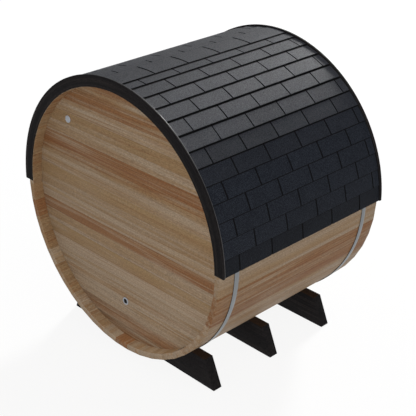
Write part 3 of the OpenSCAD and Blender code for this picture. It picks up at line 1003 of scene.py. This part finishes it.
def make_band(node):
    low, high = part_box(node)
    middle = (low.y + high.y) / 2
    near_y, far_y = middle - BAND_W / 2, middle + BAND_W / 2
    inner_r = BAND_OUT_R - BAND_T
    corners = [
        (inner_r, near_y, BAND_EASE), (BAND_OUT_R, near_y, BAND_EASE),
        (BAND_OUT_R, far_y, BAND_EASE), (inner_r, far_y, BAND_EASE),
    ]
    solids = Solids()
    gap_deg = math.degrees(CLAMP_GAP / 2 / inner_r)
    sweep_ring(solids, rounded(corners, 2), CLAMP_DEG + gap_deg, CLAMP_DEG + 360 - gap_deg, BAND_STEPS,
               board_tone(0.0), BAND_END_EASE)
    angle = math.radians(CLAMP_DEG)
    out = np.array((math.cos(angle), math.sin(angle)))
    around = np.array((-math.sin(angle), math.cos(angle)))
    for side in (-1, 1):
        low_t, high_t = sorted((side * CLAMP_GAP / 2, side * (CLAMP_GAP / 2 + LUG_T)))
        foot_r, top_r = inner_r + BAND_T / 2, inner_r + LUG_H
        lug = rounded([
            (foot_r, near_y, 0), (top_r, near_y, LUG_CORNER),
            (top_r, far_y, LUG_CORNER), (foot_r, far_y, 0),
        ], 4)

        def place(local):
            flat = local[:, :1] * out + local[:, 2:3] * around
            return np.column_stack([flat[:, 0], local[:, 1], flat[:, 1] + AXIS_Z])

        solids.plate(lug[::-1], low_t, high_t, BAND_EASE, place, 0, board_tone(0.0))
    solids.make(node, "strap", "steel", STEEL)


# Wall fittings

def turned(solids, profile, centre, axis, steps=24):
    """A turned solid from (radius, height) points along the Y or Z axis."""
    sections = []
    angles = np.linspace(0, 2 * math.pi, steps, endpoint=False)
    for radius, height in profile:
        a, b = radius * np.cos(angles), radius * np.sin(angles)
        c = np.full(steps, height)
        ring = np.column_stack([a, c, b]) if axis == "Y" else np.column_stack([a, b, c])
        sections.append(ring + centre)
    solids.loft(sections, sections, (0, 0, 0))


def wall_disc(node, ending, slot, material, profile):
    """A turned piece on the plain end's wall, its heights measured out from the wall."""
    low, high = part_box(node)
    centre = ((low.x + high.x) / 2, -WALL_FACE, (low.z + high.z) / 2)
    solids = Solids()
    turned(solids, [(radius, -height) for radius, height in profile], centre, "Y", 48)
    solids.make(node, ending, slot, material)


def rim(radius, out, ease):
    """Foot, side and rounded edge of a disc that stands out from the wall."""
    turn = TURN_SHARE * ease
    return [(radius - RIM_FOOT, FIT_GAP), (radius, RIM_FOOT), (radius, out - ease),
            (radius - turn, out - turn), (radius - ease, out)]


def make_fittings():
    """The vent cap, the cable gland's ring and its plug."""
    low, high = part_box("vent_cap")
    radius, out = (high.x - low.x) / 2, -WALL_FACE - low.y
    ring = [radius * share for share in VENT_RING]
    deep = out - VENT_RING_DEPTH
    vent = rim(radius, out, VENT_EASE)
    vent += [(ring[0], out), (ring[1], deep), (ring[2], deep), (ring[3], out), (CENTRE_R, out)]
    wall_disc("vent_cap", "disc", "grey_plastic", PLASTIC, vent)

    low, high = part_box("cable_gland")
    radius, out = (high.x - low.x) / 2, -WALL_FACE - low.y
    plug_low, plug_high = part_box("gland_plug")
    bore = (plug_high.x - plug_low.x) / 2 + FIT_GAP
    head = bore + PLUG_HEAD
    ease = GLAND_EASE
    turn = TURN_SHARE * ease
    gland = [(bore, -NECK_DEPTH)] + rim(radius, out, ease)
    gland += [(head + ease, out), (head + turn, out - turn), (head, out - ease), (head, out - 2 * ease),
              (bore, out - 2 * ease), (bore - NECK_TAPER, NECK_STEP - NECK_DEPTH)]
    wall_disc("cable_gland", "ring", "grey_plastic", PLASTIC, gland)

    neck = bore - PLUG_SLACK
    edge = head - FIT_GAP
    foot, top, dimple = out - 1.9 * ease, out - 0.7 * ease, out - 1.5 * ease
    plug = [(neck, 2 * NECK_STEP - NECK_DEPTH), (neck, foot), (edge, foot), (edge, out - ease),
            (head - RIM_FOOT, top), (PLUG_DIMPLE[0], top), (PLUG_DIMPLE[1], dimple), (CENTRE_R, dimple)]
    wall_disc("gland_plug", "disc", "plug_rubber", RUBBER, plug)


# Cradles

def make_cradle(node):
    """A timber with slanted ends, cut out to the staves' circle."""
    low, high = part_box(node)
    top = high.z
    foot = high.x
    seat_r = STAVE_R + FIT_GAP
    drop = AXIS_Z - top
    seat_x = math.sqrt(seat_r * seat_r - drop * drop)
    corners = [
        (-foot, 0.0, CRADLE_EASE), (foot, 0.0, CRADLE_EASE),
        (CRADLE_TOP_HALF, top, CRADLE_TOP_EASE), (seat_x, top, CRADLE_SEAT_EASE),
    ]
    reach = math.asin(seat_x / seat_r)
    for t in np.linspace(reach, -reach, CRADLE_SEAT_POINTS)[1:-1]:
        corners.append((seat_r * math.sin(t), AXIS_Z - seat_r * math.cos(t), 0))
    corners += [(-seat_x, top, CRADLE_SEAT_EASE), (-CRADLE_TOP_HALF, top, CRADLE_TOP_EASE)]
    solids = Solids()
    # the gold of 0.8 makes the level top browner
    solids.plate(rounded(corners), low.y, high.y, CRADLE_EASE, upright, 0, board_tone(0.0, 0.8))
    solids.make(node, "timber", "black_wood", BLACK_WOOD)


# Door

def rectangle(low_a, low_b, high_a, high_b, radius=0.0):
    corners = [(low_a, low_b), (high_a, low_b), (high_a, high_b), (low_a, high_b)]
    return rounded([(a, b, radius) for a, b in corners])


def make_leaf():
    """Upright planks with a groove at each joint."""
    low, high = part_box("door_leaf")
    solids = Solids()
    edges = np.linspace(low.x, high.x, LEAF_PLANKS + 1)
    for left, right in zip(edges[:-1], edges[1:]):
        outline = rectangle(left + FIT_GAP, low.z, right - FIT_GAP, high.z)
        solids.plate(outline, low.y, high.y, PLANK_EASE, upright, 1, board_tone(), steps=1)
    solids.make("door_leaf", "planks", "door_wood", DOOR_WOOD)


def make_jamb(node, side):
    """A jamb with the stop that the leaf shuts against."""
    low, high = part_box(node)
    outer, inner = (high.x, low.x) if side > 0 else (-low.x, -high.x)
    seat_x = inner + STOP_W
    seat_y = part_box("door_leaf")[0].y - FIT_GAP
    corners = [
        (inner, low.y), (outer, low.y), (outer, high.y),
        (seat_x, high.y), (seat_x, seat_y), (inner, seat_y),
    ]
    outline = rounded([(x, y, FRAME_EASE) for x, y in corners])
    if side < 0:
        outline = (outline * (-1, 1))[::-1]
    solids = Solids()
    solids.plate(outline, low.z - AXIS_Z, high.z - AXIS_Z, FIT_GAP, standing, 2, board_tone())
    solids.make(node, "post", "door_wood", DOOR_WOOD)


def make_rail(node, up):
    """The head or sill, cut back for the leaf between the jambs."""
    low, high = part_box(node)
    seat_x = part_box("door_leaf")[1].x + LEAF_GAP
    seat_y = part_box("door_leaf")[0].y - FIT_GAP
    edge, outer = (high.z, low.z) if up < 0 else (low.z, high.z)

    def outline(cut_or_edge_shade):
        seat_z = edge + up * cut_or_edge_shade
        corners = [
            (-high.x, outer), (-high.x, edge), (-seat_x, edge), (-seat_x, seat_z), (seat_x, seat_z),
            (seat_x, edge), (high.x, edge), (high.x, outer),
        ]
        return np.array(corners if up > 0 else corners[::-1])

    whole, cut_or_edge_shade = outline(FIT_GAP), outline(STOP_W)
    stops = [
        (low.y, inset(whole, FIT_GAP)), (low.y + FIT_GAP, whole), (seat_y, whole), (seat_y, cut_or_edge_shade),
        (high.y - FRAME_EASE, cut_or_edge_shade), (high.y, inset(cut_or_edge_shade, FRAME_EASE)),
    ]
    solids = Solids()
    solids.run(stops, upright, 0, board_tone())
    solids.make(node, "rail", "door_wood", DOOR_WOOD)


def make_ledges():
    low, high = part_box("door_ledges")
    solids = Solids()
    for low_z, high_z in ((low.z, low.z + LEDGE_W), (high.z - LEDGE_W, high.z)):
        outline = rectangle(low.x, low_z, high.x, high_z)
        solids.plate(outline, low.y, high.y, LEDGE_EASE, upright, 0, board_tone())
    solids.make("door_ledges", "boards", "door_wood", DOOR_WOOD)


def make_handle():
    """A wooden pull with rounded bends, open behind its grip."""
    low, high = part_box("door_handle")
    width = high.x - low.x
    grip_y = high.y - width
    post = HANDLE_POST * width
    corners = [
        (low.y, low.z, 0), (high.y, low.z, width), (high.y, high.z, width), (low.y, high.z, 0),
        (low.y, high.z - post, 0), (grip_y, high.z - post, width / 2),
        (grip_y, low.z + post, width / 2), (low.y, low.z + post, 0),
    ]
    solids = Solids()
    ease = HANDLE_EASE * width
    solids.plate(rounded(corners, 8), low.x, high.x, ease, sideways, 1, board_tone(0.3), steps=5)
    solids.make("door_handle", "pull", "door_wood", DOOR_WOOD)


def make_hinges():
    """Strap hinges with a tapered strap, a jamb plate, a knuckle in three parts and domed screws."""
    low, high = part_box("door_hinges")
    gap_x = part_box("door_leaf")[1].x + LEAF_GAP / 2
    face = low.y
    solids = Solids()
    for middle in (low.z + STRAP_W, high.z - STRAP_W):
        half = STRAP_W / 2
        tip = STRAP_TIP * half
        strap = rounded([
            (low.x, middle - tip, tip), (gap_x, middle - half, STRAP_CORNER),
            (gap_x, middle + half, STRAP_CORNER), (low.x, middle + tip, tip),
        ], 6)
        solids.plate(strap, face, face + STRAP_T, STRAP_EASE, upright, 0, (0, 0, 0))
        jamb = rectangle(gap_x, middle - STRAP_W, high.x, middle + STRAP_W, HINGE_PLATE_CORNER)
        solids.plate(jamb, face, face + STRAP_T, STRAP_EASE, upright, 0, (0, 0, 0))
        third = STRAP_W / 3
        for k in range(3):
            start = k * third - half
            end = start + third
            profile = [
                (KNUCKLE_R - STRAP_EASE, start + FIT_GAP), (KNUCKLE_R, start + 3 * FIT_GAP),
                (KNUCKLE_R, end - 3 * FIT_GAP), (KNUCKLE_R - STRAP_EASE, end - FIT_GAP),
            ]
            turned(solids, profile, (gap_x, face + KNUCKLE_R, middle), "Z")
        screws = [(low.x + SCREW_FIRST + SCREW_PITCH * k, middle) for k in range(3)]
        plate_x = (gap_x + high.x) / 2 + SCREW_SHIFT
        screws += [(plate_x, middle + side * SCREW_SPREAD * STRAP_W) for side in (-1, 1)]
        for x, z in screws:
            dome = [(share * SCREW_R, height) for share, height in SCREW_DOME]
            turned(solids, dome, (x, face + STRAP_T, z), "Y")
    solids.make("door_hinges", "straps", "black_steel", BLACK_PAINT)


def dress_cad(node, material):
    """A CAD node kept as it is, with its finish."""
    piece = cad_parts[node]
    piece.data.materials.clear()
    piece.data.materials.append(material)


# Stage

def make_stage():
    """A pale floor that keeps the shadow and goes towards white where the camera sees it open."""
    mesh = bpy.data.meshes.new("floor")
    s = FLOOR_HALF
    mesh.from_pydata([(-s, -s, 0), (s, -s, 0), (s, s, 0), (-s, s, 0)], [], [(0, 1, 2, 3)])
    linked("floor", mesh)
    material = bpy.data.materials.new("floor")
    material.use_nodes = True
    nodes = Nodes(material.node_tree)
    plain = nodes.node("ShaderNodeBsdfDiffuse", {"Color": FLOOR_COLOUR}).outputs[0]
    pale = nodes.node("ShaderNodeBsdfDiffuse", {"Color": FLOOR_SEEN_COLOUR}).outputs[0]
    white = nodes.node("ShaderNodeEmission").outputs[0]
    bright = nodes.node("ShaderNodeMixShader", (FLOOR_SEEN_WHITE, pale, white)).outputs[0]
    path = nodes.node("ShaderNodeLightPath").outputs
    seen = nodes.math("MAXIMUM", path["Is Camera Ray"], path["Is Glossy Ray"])
    seen = nodes.math("MAXIMUM", seen, path["Is Transmission Ray"])
    surface = nodes.node("ShaderNodeMixShader", (seen, plain, bright)).outputs[0]
    nodes.node("ShaderNodeOutputMaterial", {"Surface": surface})
    mesh.materials.append(material)


def make_world():
    """Even light from all round, stronger from the viewer's side."""
    world = bpy.data.worlds.new("studio")
    bpy.context.scene.world = world
    world.use_nodes = True
    nodes = Nodes(world.node_tree)
    ways = (nodes.node("ShaderNodeTexCoord").outputs["Generated"], FRONT_SIDE)
    facing = nodes.node("ShaderNodeVectorMath", ways, operation="DOT_PRODUCT").outputs["Value"]
    values = {0: facing, 1: -1, 3: WORLD_BACK, 4: WORLD_FRONT}
    level = nodes.node("ShaderNodeMapRange", values).outputs[0]
    sky = nodes.node("ShaderNodeBackground", {"Strength": level}).outputs[0]
    nodes.node("ShaderNodeOutputWorld", {"Surface": sky})


def make_lamp(name, direction, distance, size, strength, shadow=True):
    """A square softbox; strength 1 lights a surface that faces it to its own colour."""
    lamp = bpy.data.lights.new(name, "AREA")
    lamp.shape = "SQUARE"
    lamp.size = size
    lamp.use_shadow = shadow
    lamp.energy = strength * (math.pi * distance) ** 2
    softbox = linked(name, lamp)
    target = Vector(LAMP_TARGET)
    softbox.location = target + Vector(direction).normalized() * distance
    softbox.rotation_mode = "QUATERNION"
    softbox.rotation_quaternion = (target - softbox.location).to_track_quat("-Z", "Y")


make_camera()
make_staves()
make_wall("rear_wall", -WALL_FACE, -WALL_BACK, None)
front_low, front_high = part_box("front_wall")
make_wall("front_wall", front_low.y, front_high.y,
          (DOORWAY_HALF + FIT_GAP, DOORWAY_LOW - FIT_GAP, DOORWAY_HIGH + FIT_GAP))
make_shingles()
make_ridge()
make_arch("roof_arch_rear", -1)
make_arch("roof_arch_front", 1)
make_band("band_rear")
make_band("band_front")
make_fittings()
for cradle in ("cradle_rear", "cradle_middle", "cradle_front"):
    make_cradle(cradle)
make_leaf()
make_jamb("door_jamb_left", -1)
make_jamb("door_jamb_right", 1)
make_rail("door_head", 1)
make_rail("door_sill", -1)
make_ledges()
make_hinges()
make_handle()
dress_cad("band_bolts", BOLT_STEEL)
dress_cad("roof_deck_left", DECK_WOOD)
dress_cad("roof_deck_right", DECK_WOOD)
make_stage()
make_world()
make_lamp("back_softbox", *BACK_LAMP)
make_lamp("front_softbox", *FRONT_LAMP, shadow=False)
make_lamp("fill_softbox", *FILL_LAMP, shadow=False)
bpy.context.scene.view_settings.view_transform = "Standard"
